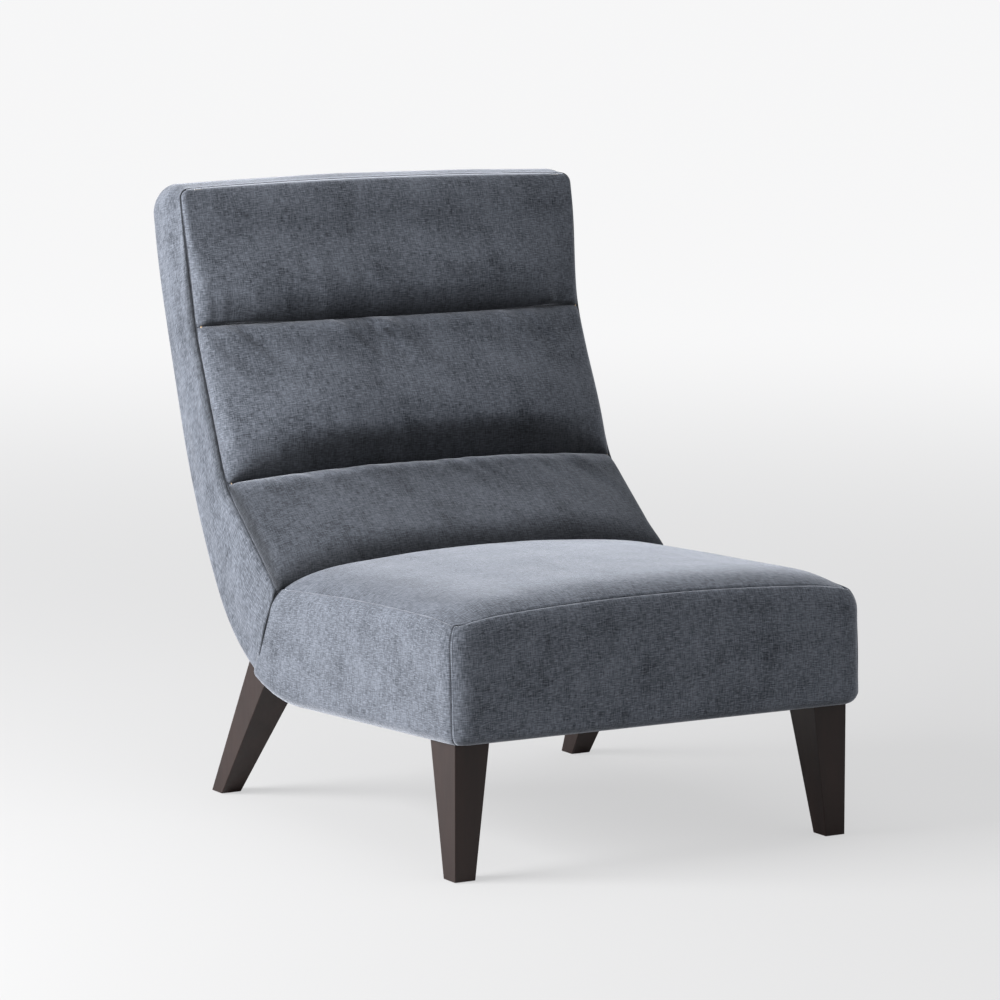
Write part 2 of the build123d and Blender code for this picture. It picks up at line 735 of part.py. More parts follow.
# Legs: upright on their outer faces, tapered on the inner ones, the rear pair raked back
rise = leg_loft_top - glide_thickness
grow = (leg_top - leg_foot) / (leg_height - glide_thickness) * rise
front_foot = (front_leg_setback, front_leg_setback + leg_foot)
front_head = (front_leg_setback, front_leg_setback + leg_foot + grow)
rear_foot = (rear_leg_setback, rear_leg_setback + leg_foot)
rear_head = (
    rear_foot[0] - rise * tan(radians(rear_leg_front_rake)),
    rear_foot[1] - rise * tan(radians(rear_leg_back_rake)),
)
leg_shapes = {"front": (*front_foot, *front_head), "rear": (*rear_foot, *rear_head)}
for end, shape in leg_shapes.items():
    for side, sign in sides.items():
        with BuildPart() as leg:
            add(leg_form(*shape, side))
            if end == "front":
                split(bisect_by=deck_plane(-dust_cover_thickness), keep=Keep.BOTTOM)
            add(outer_seat, mode=Mode.SUBTRACT)
            add(outer_back, mode=Mode.SUBTRACT)
            with BuildSketch(bolt_plane(end, side).offset(-bolt_in_leg - fit_gap)):
                RegularPolygon(bolt_radius + fit_gap, hole_sides, major_radius=False)
            extrude(amount=reach, mode=Mode.SUBTRACT)
            with BuildSketch(Plane.XY):
                with Locations((sign * glide_x, front_y + shape[0] + leg_foot / 2)):
                    RegularPolygon(glide_nail_radius + fit_gap, nail_sides)
            extrude(amount=glide_thickness + glide_nail_length + fit_gap, mode=Mode.SUBTRACT)
        leg.part.label = f"{end}_leg_{side}"
        export_step(leg.part, f"parts/{end}_leg_{side}.step")

# Leg fixings: a bolt up from each leg into a tee nut on its block, and a nailed glide under each foot
with BuildPart() as leg_bolts:
    for end in leg_shapes:
        for side in sides:
            with BuildSketch(bolt_plane(end, side).offset(-bolt_in_leg)):
                Circle(bolt_radius)
            extrude(amount=bolt_in_leg + block_top + tee_flange_thickness + bolt_past_nut)
leg_bolts.part.label = "leg_bolts"
export_step(leg_bolts.part, "parts/leg_bolts.step")

with BuildPart() as tee_nuts:
    for end in leg_shapes:
        for side in sides:
            with BuildSketch(bolt_plane(end, side).offset(block_top)):
                RegularPolygon(tee_flange_radius, hole_sides)
                RegularPolygon(bolt_radius + fit_gap, hole_sides, major_radius=False, mode=Mode.SUBTRACT)
            extrude(amount=tee_flange_thickness)
            with BuildSketch(bolt_plane(end, side).offset(block_top)):
                RegularPolygon(tee_barrel_radius, hole_sides)
                RegularPolygon(bolt_radius + fit_gap, hole_sides, major_radius=False, mode=Mode.SUBTRACT)
            extrude(amount=-tee_barrel_length)
tee_nuts.part.label = "tee_nuts"
export_step(tee_nuts.part, "parts/tee_nuts.step")

with BuildPart() as foot_glides:
    for shape in leg_shapes.values():
        for sign in sides.values():
            place = (sign * glide_x, front_y + shape[0] + leg_foot / 2)
            with BuildSketch(Plane.XY):
                with Locations(place):
                    Circle(glide_radius)
            extrude(amount=glide_thickness)
            with BuildSketch(Plane.XY.offset(glide_thickness)):
                with Locations(place):
                    RegularPolygon(glide_nail_radius, nail_sides)
            extrude(amount=glide_nail_length)
foot_glides.part.label = "foot_glides"
export_step(foot_glides.part, "parts/foot_glides.step")
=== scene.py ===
"""An armless lounge chair in blue-grey woven velvet, with a channelled back and dark tapered legs."""
import math

import bmesh
import bpy
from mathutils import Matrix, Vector, noise


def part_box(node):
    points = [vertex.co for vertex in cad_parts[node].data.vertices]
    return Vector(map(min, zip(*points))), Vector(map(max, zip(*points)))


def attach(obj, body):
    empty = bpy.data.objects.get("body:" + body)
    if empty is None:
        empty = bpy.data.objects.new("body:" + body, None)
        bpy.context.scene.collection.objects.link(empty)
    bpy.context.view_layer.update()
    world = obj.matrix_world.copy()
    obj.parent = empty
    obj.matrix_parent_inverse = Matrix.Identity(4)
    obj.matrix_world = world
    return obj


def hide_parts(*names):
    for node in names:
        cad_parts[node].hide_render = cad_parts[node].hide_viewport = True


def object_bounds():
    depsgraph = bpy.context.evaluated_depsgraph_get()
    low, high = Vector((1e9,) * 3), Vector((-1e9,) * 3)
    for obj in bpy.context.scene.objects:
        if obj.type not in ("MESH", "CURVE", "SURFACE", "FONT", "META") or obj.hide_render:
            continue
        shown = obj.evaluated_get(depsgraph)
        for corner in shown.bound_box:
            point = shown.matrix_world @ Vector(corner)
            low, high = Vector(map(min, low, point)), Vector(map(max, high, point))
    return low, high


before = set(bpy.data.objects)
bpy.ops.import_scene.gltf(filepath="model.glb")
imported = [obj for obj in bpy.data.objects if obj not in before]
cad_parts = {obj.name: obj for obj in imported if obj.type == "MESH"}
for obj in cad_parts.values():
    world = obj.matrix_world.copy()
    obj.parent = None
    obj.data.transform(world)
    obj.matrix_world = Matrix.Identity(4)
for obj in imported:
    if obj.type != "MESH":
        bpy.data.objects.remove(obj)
cad_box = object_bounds()

# Hidden timber: plywood side frames and softwood rails and blocks, glued and screwed.
# Raw sawn wood with growth bands and fine pores. The cloth hides it, but for specks at the crease ends.


def group_socket(group, name, kind, way, value=None):
    """Adds a named input or output to a shader group."""
    socket = group.interface.new_socket(name, in_out=way, socket_type=kind)
    if value is not None:
        socket.default_value = value
    return socket


def add_node(tree, kind, **values):
    """Adds a shader node and sets its inputs by name and its options by attribute."""
    node = tree.nodes.new(kind)
    for key, value in values.items():
        if hasattr(node, key):
            setattr(node, key, value)
        else:
            node.inputs[key.replace("_", " ")].default_value = value
    return node


def wood_grain_group():
    """Growth bands and pores along one axis, as a colour mask and a height."""
    group = bpy.data.node_groups.new("wood grain", "ShaderNodeTree")
    group_socket(group, "Stretch", "NodeSocketVector", "INPUT", (1.0, 1.0, 1.0))
    group_socket(group, "Bands", "NodeSocketFloat", "OUTPUT")
    group_socket(group, "Pores", "NodeSocketFloat", "OUTPUT")
    entry = group.nodes.new("NodeGroupInput")
    leave = group.nodes.new("NodeGroupOutput")
    place = group.nodes.new("ShaderNodeTexCoord")
    stretch = add_node(group, "ShaderNodeVectorMath", operation="MULTIPLY")
    bands = add_node(group, "ShaderNodeTexNoise", Scale=30.0, Detail=6.0, Roughness=0.62, Distortion=0.6)
    pores = add_node(group, "ShaderNodeTexNoise", Scale=160.0, Detail=3.0, Roughness=0.7)
    link = group.links.new
    link(place.outputs["Object"], stretch.inputs[0])
    link(entry.outputs["Stretch"], stretch.inputs[1])
    link(stretch.outputs[0], bands.inputs["Vector"])
    link(stretch.outputs[0], pores.inputs["Vector"])
    link(bands.outputs["Fac"], leave.inputs["Bands"])
    link(pores.outputs["Fac"], leave.inputs["Pores"])
    return group


wood_grain = wood_grain_group()


def wood_material(name, dark, light, stretch, roughness, pore_depth):
    """Grain between two stains, with roughness and relief from the pores."""
    material = bpy.data.materials.new(name)
    material.use_nodes = True
    tree = material.node_tree
    shader = tree.nodes["Principled BSDF"]
    grain = add_node(tree, "ShaderNodeGroup", node_tree=wood_grain)
    grain.inputs["Stretch"].default_value = stretch
    tone = tree.nodes.new("ShaderNodeValToRGB")
    tone.color_ramp.elements[0].color = (*dark, 1)
    tone.color_ramp.elements[0].position = 0.3
    tone.color_ramp.elements[1].color = (*light, 1)
    tone.color_ramp.elements[1].position = 0.75
    satin = add_node(tree, "ShaderNodeMapRange")
    satin.inputs["To Min"].default_value = roughness - 0.06
    satin.inputs["To Max"].default_value = roughness + 0.08
    relief = add_node(tree, "ShaderNodeBump", Strength=0.25, Distance=pore_depth)
    link = tree.links.new
    link(grain.outputs["Bands"], tone.inputs["Fac"])
    link(tone.outputs["Color"], shader.inputs["Base Color"])
    link(grain.outputs["Pores"], satin.inputs["Value"])
    link(satin.outputs["Result"], shader.inputs["Roughness"])
    link(grain.outputs["Pores"], relief.inputs["Height"])
    link(relief.outputs["Normal"], shader.inputs["Normal"])
    return material


def dress(names, material):
    """Gives CAD pieces that keep their shape a finish."""
    for name in names:
        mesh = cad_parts[name].data
        mesh.materials.clear()
        mesh.materials.append(material)


raw_dark = (0.40, 0.27, 0.15)
raw_light = (0.62, 0.46, 0.29)
raw_wood = wood_material("raw frame wood", raw_dark, raw_light, (6.0, 1.0, 1.0), 0.62, 0.0006)
timber_names = [
    "side_frame_left", "side_frame_right", "front_rail", "rear_seat_rail", "base_rail", "lumbar_rail",
    "lower_crease_rail", "upper_crease_rail", "top_rail", "front_leg_block_left", "front_leg_block_right",
    "rear_leg_block_left", "rear_leg_block_right",
]
dress(timber_names, raw_wood)

# Springs, clips, bolts and tee nuts: drawn and pressed steel with a zinc finish.
# The springs clip to the rails; each bolt runs from a leg into a tee nut.


def spotted_material(name, low, high, scale, roughness, metallic):
    """A finish whose tone and roughness wander a little over the surface."""
    material = bpy.data.materials.new(name)
    material.use_nodes = True
    tree = material.node_tree
    shader = tree.nodes["Principled BSDF"]
    shader.inputs["Metallic"].default_value = metallic
    place = tree.nodes.new("ShaderNodeTexCoord")
    spots = add_node(tree, "ShaderNodeTexNoise", Scale=scale, Detail=4.0, Roughness=0.6)
    tone = tree.nodes.new("ShaderNodeValToRGB")
    tone.color_ramp.elements[0].color = (*low, 1)
    tone.color_ramp.elements[1].color = (*high, 1)
    rough = tree.nodes.new("ShaderNodeMapRange")
    rough.inputs["To Min"].default_value = roughness - 0.08
    rough.inputs["To Max"].default_value = roughness + 0.08
    relief = add_node(tree, "ShaderNodeBump", Strength=0.15, Distance=0.0004)
    link = tree.links.new
    link(place.outputs["Object"], spots.inputs["Vector"])
    link(spots.outputs["Fac"], tone.inputs["Fac"])
    link(spots.outputs["Fac"], rough.inputs["Value"])
    link(spots.outputs["Fac"], relief.inputs["Height"])
    link(tone.outputs["Color"], shader.inputs["Base Color"])
    link(rough.outputs["Result"], shader.inputs["Roughness"])
    link(relief.outputs["Normal"], shader.inputs["Normal"])
    return material


zinc = spotted_material("zinc-plated steel", (0.48, 0.48, 0.46), (0.66, 0.66, 0.64), 90.0, 0.38, 1.0)
dress(["seat_springs", "spring_clips", "leg_bolts", "tee_nuts"], zinc)
felt = spotted_material("grey pressed felt", (0.30, 0.29, 0.28), (0.48, 0.47, 0.45), 220.0, 0.9, 0.0)
dress(["deck_felt", "outside_back_lining"], felt)
webbing_dark = (0.05, 0.045, 0.04)
webbing_light = (0.12, 0.11, 0.10)
webbing = spotted_material("black elastic webbing", webbing_dark, webbing_light, 300.0, 0.85, 0.0)
dress(["back_webbing"], webbing)

# Foot glides: pale moulded nylon discs, each on a nail driven into the end of a leg.
nylon = spotted_material("pale nylon", (0.66, 0.65, 0.61), (0.80, 0.79, 0.75), 140.0, 0.5, 0.0)
dress(["foot_glides"], nylon)

# Legs: solid hardwood, square in section, upright on the two outer faces and tapered on the two
# inner ones, stained a dark espresso under a satin lacquer. The rear pair is raked backwards.
# The front pair is made deeper and slimmer than its solids, as the photograph shows it.
leg_edge = 0.0012
leg_spread = 0.055
leg_trim = 0.022
leg_sole = 0.0012
leg_foot_height = 0.010
leg_long_edge = 0.09
leg_dark = (0.007, 0.0026, 0.0020)
leg_light = (0.017, 0.0072, 0.0056)
leg_lacquer = {"Coat Weight": 0.06, "Specular IOR Level": 0.26, "Coat Roughness": 0.32}
leg_wood = wood_material("espresso-stained leg wood", leg_dark, leg_light, (1.0, 1.0, 0.12), 0.44, 0.0003)
for socket, value in leg_lacquer.items():
    leg_wood.node_tree.nodes["Principled BSDF"].inputs[socket].default_value = value

for node in ("front_leg_left", "front_leg_right", "rear_leg_left", "rear_leg_right"):
    leg = bpy.data.objects.new(f"tapered_{node}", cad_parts[node].data.copy())
    bpy.context.collection.objects.link(leg)
    leg.data.materials.clear()
    leg.data.materials.append(leg_wood)
    shape = bmesh.new()
    shape.from_mesh(leg.data)
    bmesh.ops.remove_doubles(shape, verts=shape.verts, dist=1e-5)
    bmesh.ops.dissolve_limit(shape, angle_limit=math.radians(1.0), verts=shape.verts, edges=shape.edges)
    middle = sum((v.co for v in shape.verts), Vector()) / len(shape.verts)
    for corner in shape.verts:
        if node.startswith("front") and corner.co.y > middle.y:
            corner.co.y += leg_spread * corner.co.z
        if node.startswith("front") and abs(corner.co.x) < abs(middle.x):
            corner.co.x += math.copysign(leg_trim * corner.co.z, middle.x)
        if corner.co.z < leg_foot_height:
            corner.co.z = leg_sole
    long_edges = [e for e in shape.edges if e.calc_length() > leg_long_edge]
    bmesh.ops.bevel(shape, geom=long_edges, offset=leg_edge, segments=3, affect="EDGES", profile=0.5)
    shape.to_mesh(leg.data)
    shape.free()
    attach(leg, "root")
    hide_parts(node)

# Upholstery cloth: one blue-grey velvet with a slubbed weave under a short pile.
# Painted shade: the colour darkens where a panel faces along a given way, and the sheen lightens it edge
# on; the pile shows brushed patches.
# How far the painted shade darkens is fitted to the photograph, panel by panel.


def velvet_group():
    """Slubbed threads, brushed pile patches, thread relief from the cloth's own directions and painted
    shade where the surface faces a given way.
    """
    group = bpy.data.node_groups.new("slubbed velvet", "ShaderNodeTree")
    group_socket(group, "Dark", "NodeSocketColor", "INPUT", (0.1, 0.1, 0.1, 1))
    group_socket(group, "Light", "NodeSocketColor", "INPUT", (0.3, 0.3, 0.3, 1))
    group_socket(group, "Shade Way", "NodeSocketVector", "INPUT", (0.0, -0.25, -0.97))
    group_socket(group, "Shade Start", "NodeSocketFloat", "INPUT", 0.12)
    group_socket(group, "Shade End", "NodeSocketFloat", "INPUT", 0.50)
    group_socket(group, "Color", "NodeSocketColor", "OUTPUT")
    group_socket(group, "Roughness", "NodeSocketFloat", "OUTPUT")
    group_socket(group, "Height", "NodeSocketFloat", "OUTPUT")
    entry = group.nodes.new("NodeGroupInput")
    leave = group.nodes.new("NodeGroupOutput")
    cloth = group.nodes.new("ShaderNodeUVMap")
    cloth.uv_map = "cloth"
    link = group.links.new

    def cloth_noise(stretch, detail, low, high):
        """Noise stretched along the cloth, spread over the range from low to high."""
        along = add_node(group, "ShaderNodeVectorMath", operation="MULTIPLY")
        along.inputs[1].default_value = stretch
        cells = add_node(group, "ShaderNodeTexNoise", Scale=1.0, Detail=detail, Roughness=0.6)
        spread = group.nodes.new("ShaderNodeMapRange")
        spread.inputs["From Min"].default_value = 0.32
        spread.inputs["From Max"].default_value = 0.68
        spread.inputs["To Min"].default_value = low
        spread.inputs["To Max"].default_value = high
        link(cloth.outputs["UV"], along.inputs[0])
        link(along.outputs[0], cells.inputs["Vector"])
        link(cells.outputs["Fac"], spread.inputs["Value"])
        return spread.outputs["Result"]

    def add(first, second, clamp=False):
        """Sum of two values."""
        total = add_node(group, "ShaderNodeMath", operation="ADD", use_clamp=clamp)
        link(first, total.inputs[0])
        link(second, total.inputs[1])
        return total.outputs[0]

    weft = cloth_noise((70.0, 640.0, 1.0), 1.5, 0.0, 0.5)
    warp = cloth_noise((640.0, 70.0, 1.0), 1.5, 0.0, 0.5)
    weave = add(weft, warp)
    slubs = cloth_noise((120.0, 560.0, 7.0), 1.0, -1.6, 1.1)
    knots = add_node(group, "ShaderNodeMath", operation="MULTIPLY", use_clamp=True)
    knots.inputs[1].default_value = 0.45
    link(slubs, knots.inputs[0])
    brushed = cloth_noise((9.0, 14.0, 1.0), 4.0, -0.18, 0.18)
    swept = cloth_noise((42.0, 6.0, 1.0), 3.0, -0.10, 0.10)
    shade = add(add(weave, knots.outputs[0]), add(brushed, swept), clamp=True)
    tone = add_node(group, "ShaderNodeMix", data_type="RGBA")
    link(shade, tone.inputs[0])
    link(entry.outputs["Dark"], tone.inputs[6])
    link(entry.outputs["Light"], tone.inputs[7])
    # Painted shade: the tone is darkened where the surface faces along the given way.
    facing = group.nodes.new("ShaderNodeNewGeometry")
    along_shade_way = add_node(group, "ShaderNodeVectorMath", operation="DOT_PRODUCT")
    link(entry.outputs["Shade Way"], along_shade_way.inputs[1])
    painted_shade = group.nodes.new("ShaderNodeMapRange")
    painted_shade.interpolation_type = "SMOOTHSTEP"
    link(entry.outputs["Shade Start"], painted_shade.inputs["From Min"])
    link(entry.outputs["Shade End"], painted_shade.inputs["From Max"])
    painted_shade.inputs["To Min"].default_value = 1.0
    painted_shade.inputs["To Max"].default_value = 0.26
    shaded_tone = add_node(group, "ShaderNodeVectorMath", operation="SCALE")
    link(facing.outputs["Normal"], along_shade_way.inputs[0])
    link(along_shade_way.outputs["Value"], painted_shade.inputs["Value"])
    link(tone.outputs[2], shaded_tone.inputs[0])
    link(painted_shade.outputs["Result"], shaded_tone.inputs["Scale"])
    rough = group.nodes.new("ShaderNodeMapRange")
    rough.inputs["To Min"].default_value = 0.95
    rough.inputs["To Max"].default_value = 0.7
    link(shade, rough.inputs["Value"])
    link(shaded_tone.outputs[0], leave.inputs["Color"])
    link(rough.outputs["Result"], leave.inputs["Roughness"])
    link(weave, leave.inputs["Height"])
    return group


slubbed_velvet = velvet_group()
velvet_dark = (0.020, 0.023, 0.029)
velvet_light = (0.118, 0.130, 0.156)
# Ways along which the painted shade darkens the cloth: mostly down, or straight forward.
shade_down = (0.0, -0.25, -0.97)
shade_forward = (0.0, -1.0, 0.0)


def velvet_material(name, shade_way, shade_start, shade_end, sheen=0.62):
    """The chair's cloth, with painted shade that darkens its colour where a panel faces a given way."""
    material = bpy.data.materials.new(name)
    material.use_nodes = True
    tree = material.node_tree
    shader = tree.nodes["Principled BSDF"]
    shader.inputs["Specular IOR Level"].default_value = 0.12
    shader.inputs["Sheen Weight"].default_value = sheen
    shader.inputs["Sheen Roughness"].default_value = 0.36
    shader.inputs["Sheen Tint"].default_value = (0.74, 0.78, 0.87, 1)
    cloth = add_node(tree, "ShaderNodeGroup", node_tree=slubbed_velvet)
    cloth.inputs["Dark"].default_value = (*velvet_dark, 1)
    cloth.inputs["Light"].default_value = (*velvet_light, 1)
    cloth.inputs["Shade Way"].default_value = shade_way
    cloth.inputs["Shade Start"].default_value = shade_start
    cloth.inputs["Shade End"].default_value = shade_end
    relief = add_node(tree, "ShaderNodeBump", Strength=0.45, Distance=0.0008)
    link = tree.links.new
    link(cloth.outputs["Color"], shader.inputs["Base Color"])
    link(cloth.outputs["Roughness"], shader.inputs["Roughness"])
    link(cloth.outputs["Height"], relief.inputs["Height"])
    link(relief.outputs["Normal"], shader.inputs["Normal"])
    return material


# Painted shade on the plain cloth only where a surface faces well downward.
velvet = velvet_material("blue-grey velvet", shade_down, 0.40, 1.25)


def cloth_panel(name, columns, rows, place, material, turned=False):
    """A cut panel as a grid of points, with a UV map that measures the cloth in metres."""
    grid = [[place(i / (columns - 1), j / (rows - 1)) for i in range(columns)] for j in range(rows)]
    corners = [point for row in grid for point in row]
    faces = []
    for j in range(rows - 1):
        for i in range(columns - 1):
            near = j * columns + i
            ring = (near, near + 1, near + columns + 1, near + columns)
            faces.append(ring[::-1] if turned else ring)
    mesh = bpy.data.meshes.new(name)
    mesh.from_pydata(corners, [], faces)
    across = [0.0]
    middle = grid[rows // 2]
    for a, b in zip(middle, middle[1:]):
        across.append(across[-1] + (Vector(b) - Vector(a)).length)
    along = [0.0]
    for a, b in zip(grid, grid[1:]):
        along.append(along[-1] + (Vector(b[columns // 2]) - Vector(a[columns // 2])).length)
    cloth = mesh.uv_layers.new(name="cloth")
    for loop in mesh.loops:
        j, i = divmod(loop.vertex_index, columns)
        cloth.data[loop.index].uv = (across[i], along[j])
    mesh.materials.append(material)
    mesh.shade_smooth()
    piece = bpy.data.objects.new(name, mesh)
    bpy.context.collection.objects.link(piece)
    return piece


def back_with_cloth(piece, thickness):
    """Closes a panel with the thickness of its cloth and wadding, on its inner side."""
    shell = piece.modifiers.new("cloth and wadding", "SOLIDIFY")
    shell.thickness = thickness
    shell.offset = -1.0
    shell.use_rim = True


def hang_cloth(piece, columns, rows, hold, slack, push):
    """Readies a panel to settle: sewn at its edges, held softly by its filling and cut a little large."""
    sewn = piece.vertex_groups.new(name="sewn")
    for j in range(rows):
        for i in range(columns):
            edge = i in (0, columns - 1) or j in (0, rows - 1)
            sewn.add([j * columns + i], 1.0 if edge else hold, "REPLACE")
    piece.shape_key_add(name="sewn shape")
    cut = piece.shape_key_add(name="cut shape")
    corners = [v.co.copy() for v in piece.data.vertices]
    middle = sum(corners, Vector()) / len(corners)
    for key, corner in zip(cut.data, corners):
        key.co = middle + Vector(way * grow for way, grow in zip(corner - middle, slack))
    cloth = piece.modifiers.new("settling", "CLOTH")
    cloth.settings.quality = 6
    cloth.settings.mass = 0.25
    cloth.settings.tension_stiffness = 20.0
    cloth.settings.compression_stiffness = 20.0
    cloth.settings.shear_stiffness = 6.0
    cloth.settings.bending_stiffness = 0.08
    cloth.settings.vertex_group_mass = "sewn"
    cloth.settings.use_pressure = True
    cloth.settings.uniform_pressure_force = push
    cloth.settings.effector_weights.gravity = 0.3
    cloth.settings.rest_shape_key = cut
    cloth.point_cache.frame_end = settle_frames
    return corners


def keep_settled(piece, corners):
    """Keeps the shape that the cloth settled in and takes the simulation off the panel."""
    settled = piece.evaluated_get(bpy.context.evaluated_depsgraph_get()).to_mesh()
    places = [v.co.copy() for v in settled.vertices]
    piece.shape_key_clear()
    piece.modifiers.remove(piece.modifiers["settling"])
    for vertex, place, corner in zip(piece.data.vertices, places, corners):
        move = place - corner
        vertex.co = corner + move * min(1.0, settle_limit / max(move.length, 1e-9))


settle_frames = 24
settle_limit = 0.012
hanging = []


def ease(value):
    """Smooth rise from 0 to 1."""
    value = min(1.0, max(0.0, value))
    return value * value * (3 - 2 * value)


def ripple(x, seed, size):
    """A gentle unevenness of the given wavelength, the same on every run."""
    return noise.noise(Vector((x / size, seed, 0.5 * seed)))


# Seat: foam over zigzag springs, covered tight. The top panel is crowned and sewn to a boxing
# band of a front and two sides, joined by an upright seam at each rounded front corner.
half = (cad_box[1][0] - cad_box[0][0]) / 2
datum_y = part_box("front_leg_left")[0][1] - 0.030
seat_base = 0.197
seat_pitch = math.radians(2.5)
seat_thick = 0.172
seat_long = 0.528
corner_round = 0.034
front_crown = 0.016
rear_crown = 0.024
top_roll = 0.0205
top_roll_width = 0.140
top_roll_power = 4.6
brow_round = 0.044
quarter = math.pi / 4
seat_dome = 0.003
corner_dip = 0.005
corner_dip_reach = 0.085
seam_tuck = 0.0018
seam_pinch = 0.0045
corner_seam = math.radians(58.0)
base_round = 0.019
hem_width = 0.032
front_bulge = 0.006
side_bulge = 0.001
side_overlap = 0.0028
side_bow = 0.006
boxing_spread = 1.35
boxing_wave = 0.0015
top_wave = 0.0012
rear_tuck = 0.014
rear_tuck_start = 0.93
wadding = 0.004
heel_start = 0.484
heel_radius = 0.290
seam_foot_u = 0.6047
seam_foot_v = 0.0261


def on_seat(x, u, v):
    """A place u back along the pitched seat and v above its underside."""
    y = datum_y + u * math.cos(seat_pitch) + v * math.sin(seat_pitch)
    z = seat_base - u * math.sin(seat_pitch) + v * math.cos(seat_pitch)
    return (x, y, z)


def seam_height(x, u):
    """Height of the seam line's surface, which bows up between the sides."""
    share = max(0.0, 1 - (x / half) ** 2)
    crown = front_crown + (rear_crown - front_crown) * min(1.0, u / seat_long)
    dip = corner_dip * ease(1 - (half - abs(x)) / corner_dip_reach) * ease(1 - u / corner_dip_reach)
    return seat_thick + crown * share - dip


def edge_drop(distance, radius):
    """How far a surface that rolls over by half a right angle has fallen, at a distance from its seam."""
    short = max(0.0, radius * math.sin(quarter) - distance)
    return radius - math.sqrt(radius**2 - short**2)


def groove(distance):
    """How far the cloth is pulled in beside a seam, on the slant between the two panels."""
    return seam_tuck * math.sin(quarter) * max(0.0, 1 - distance / seam_pinch) ** 2


def finer(share):
    """Spreads even shares so that they lie closer together at both ends."""
    return share - 0.72 * math.sin(2 * math.pi * share) / (2 * math.pi)


def seat_top_place(a, b):
    """A point of the crowned top panel, a across and b from front to back."""
    a, b = finer(a), finer(b)
    tuck_in = edge_drop(0, brow_round)
    reach = half - tuck_in
    x = (2 * a - 1) * reach
    u = tuck_in + b * (seat_long - tuck_in)
    if abs(x) > reach - corner_round and u < tuck_in + corner_round:
        dx = (abs(x) - reach + corner_round) / corner_round
        du = (tuck_in + corner_round - u) / corner_round
        round_x = dx * math.sqrt(1 - du * du / 2)
        round_u = du * math.sqrt(1 - dx * dx / 2)
        x = math.copysign(reach - corner_round + round_x * corner_round, x)
        u = tuck_in + corner_round - round_u * corner_round
    seam = seam_height(x * half / reach, max(0.0, u - tuck_in))
    from_side = reach * (1 - abs(2 * a - 1))
    from_front = b * (seat_long - tuck_in)
    over_side = 1 - max(0.0, 1 - from_side / top_roll_width) ** top_roll_power
    over_front = 1 - max(0.0, 1 - from_front / top_roll_width) ** top_roll_power
    depth = over_side * over_front
    rise = top_roll * depth
    x -= math.copysign(groove(from_side), x)
    u += groove(from_front)
    rise -= groove(min(from_side, from_front))
    dome = seat_dome * max(0.0, 1 - (x / half) ** 2) * math.sin(math.pi * min(1.0, b))
    tuck = rear_tuck * max(0.0, (b - rear_tuck_start) / 0.07) ** 2 * max(0.0, 1 - (x / half) ** 4)
    wave = top_wave * (ripple(x, 3.1, 0.09) + ripple(u, 7.7, 0.12)) * depth
    return on_seat(x, u, seam + rise + dome - tuck + wave)


def boxing_point(x, u, out_x, out_u, top, base, b, seed, bulge):
    """A point of the boxing band at a place on the seat's plan, b from the seam to the hem."""
    brow = brow_round * quarter
    face = top - base - base_round - brow_round * math.sin(quarter)
    turn = base_round * math.pi / 2
    run = b**boxing_spread * (brow + face + turn + hem_width)
    if run < brow:
        angle = quarter - run / brow_round
        out = -brow_round * (1 - math.cos(angle)) - groove(run)
        v = top - brow_round * (math.sin(quarter) - math.sin(angle)) - groove(run)
    elif run < brow + face:
        swell = math.sin(math.pi * (run - brow) / face) ** 2
        out = swell * (bulge + boxing_wave * ripple(x + u, seed, 0.11))
        v = base + base_round + brow + face - run
    elif run < brow + face + turn:
        angle = (run - brow - face) / base_round
        out = -base_round * (1 - math.cos(angle))
        v = base + base_round * (1 - math.sin(angle))
    else:
        out = -base_round - (run - brow - face - turn)
        v = base
    return on_seat(x + out_x * out, u + out_u * out, v)


def seat_front_place(a, b):
    """A point of the front panel, a from left to right round half of each corner."""
    arc = corner_round * corner_seam
    flat = 2 * (half - corner_round)
    run = a * (flat + 2 * arc) - arc
    if run < 0 or run > flat:
        angle = (-run if run < 0 else run - flat) / corner_round
        side = -1 if run < 0 else 1
        out_x, out_u = side * math.sin(angle), -math.cos(angle)
        x = side * (half - corner_round) + corner_round * out_x
        u = corner_round + corner_round * out_u
    else:
        x, u, out_x, out_u = run - flat / 2, 0.0, 0.0, -1.0
    bulge = front_bulge * max(0.0, 1 - abs(x / (half - corner_round)) ** 6)
    return boxing_point(x, u, out_x, out_u, seam_height(x, u), 0.0, b, 2.3, bulge)


def heel_lift(u):
    """How far the underside has risen along the heel arc."""
    past = max(0.0, u - heel_start)
    return heel_radius - math.sqrt(heel_radius**2 - past**2)


def seat_side_place(side):
    """Points of one side panel, from its corner seam back to the seam with the back."""

    def place(a, b):
        arc = corner_round * (math.pi / 2 - corner_seam)
        seam_slope = (seam_foot_u - seat_long) / (seat_thick - seam_foot_v)
        end = seat_long + max(0.0, min(1.0, b * 1.25)) * (seat_thick - seam_foot_v) * seam_slope
        end += side_overlap * (1 + max(0.0, 1 - b / 0.25))
        run = a * (arc + end - corner_round)
        if run < arc:
            angle = corner_seam + run / corner_round
            out_x, out_u = side * math.sin(angle), -math.cos(angle)
            x = side * (half - corner_round) + corner_round * out_x
            u = corner_round + corner_round * out_u
        else:
            x, u, out_x, out_u = side * half, corner_round + run - arc, side, 0.0
        bow = side_bow * math.sin(math.pi * min(1.0, u / seat_long))
        top = seam_height(x, u) + bow
        return boxing_point(x, u, out_x, out_u, top, heel_lift(u), b, 5.9 + side, side_bulge)

    return place


